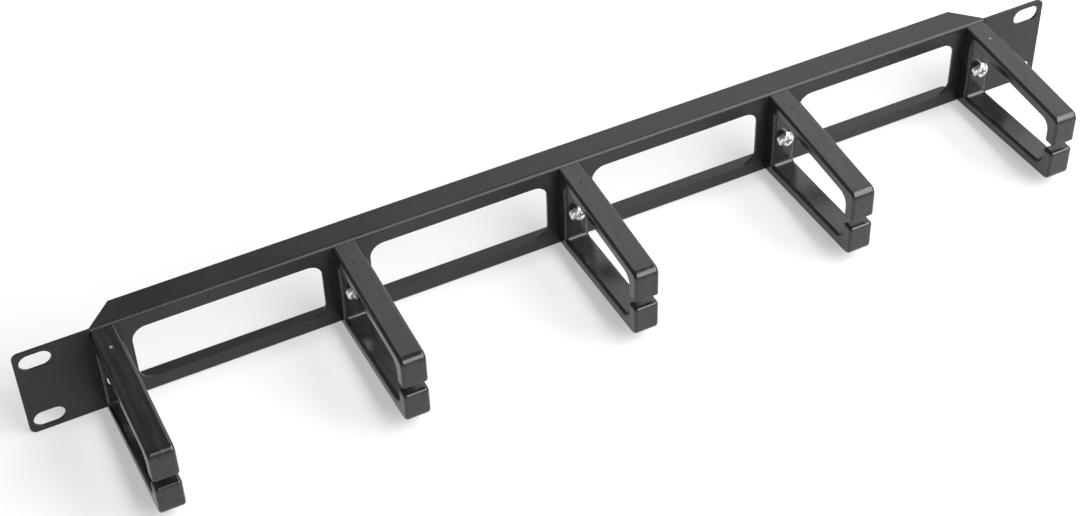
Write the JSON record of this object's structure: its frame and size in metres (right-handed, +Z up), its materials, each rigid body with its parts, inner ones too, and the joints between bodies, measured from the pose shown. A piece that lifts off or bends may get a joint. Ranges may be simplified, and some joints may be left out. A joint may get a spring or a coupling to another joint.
{
  "type": "horizontal cable manager",
  "caption": "Horizontal cable manager for a server rack: a folded steel panel with cable windows and slotted ears carries a row of moulded cable rings open at the front.",
  "frame": {"origin": "centre of the rack slot pattern, on the rear face of the panel that seats on the rack rails", "axes": "+X along the panel, +Y into the rack (the rings reach out along -Y), +Z up"},
  "size_m": [0.4826, 0.0816, 0.0436],
  "materials": {
    "panel_steel": "satin black powder coat with a fine texture",
    "ring_plastic": "glossy black moulded plastic",
    "fastener_zinc": "bright zinc plate"
  },
  "bodies": {
    "root": {"panel": "panel_steel", "ring_1": "ring_plastic", "ring_2": "ring_plastic", "ring_3": "ring_plastic", "ring_4": "ring_plastic", "ring_5": "ring_plastic", "screw_1": "fastener_zinc", "screw_2": "fastener_zinc", "screw_3": "fastener_zinc", "screw_4": "fastener_zinc", "screw_5": "fastener_zinc", "washer_1": "fastener_zinc", "washer_2": "fastener_zinc", "washer_3": "fastener_zinc", "washer_4": "fastener_zinc", "washer_5": "fastener_zinc", "nut_1": "fastener_zinc", "nut_2": "fastener_zinc", "nut_3": "fastener_zinc", "nut_4": "fastener_zinc", "nut_5": "fastener_zinc"}
  },
  "joints": []
}
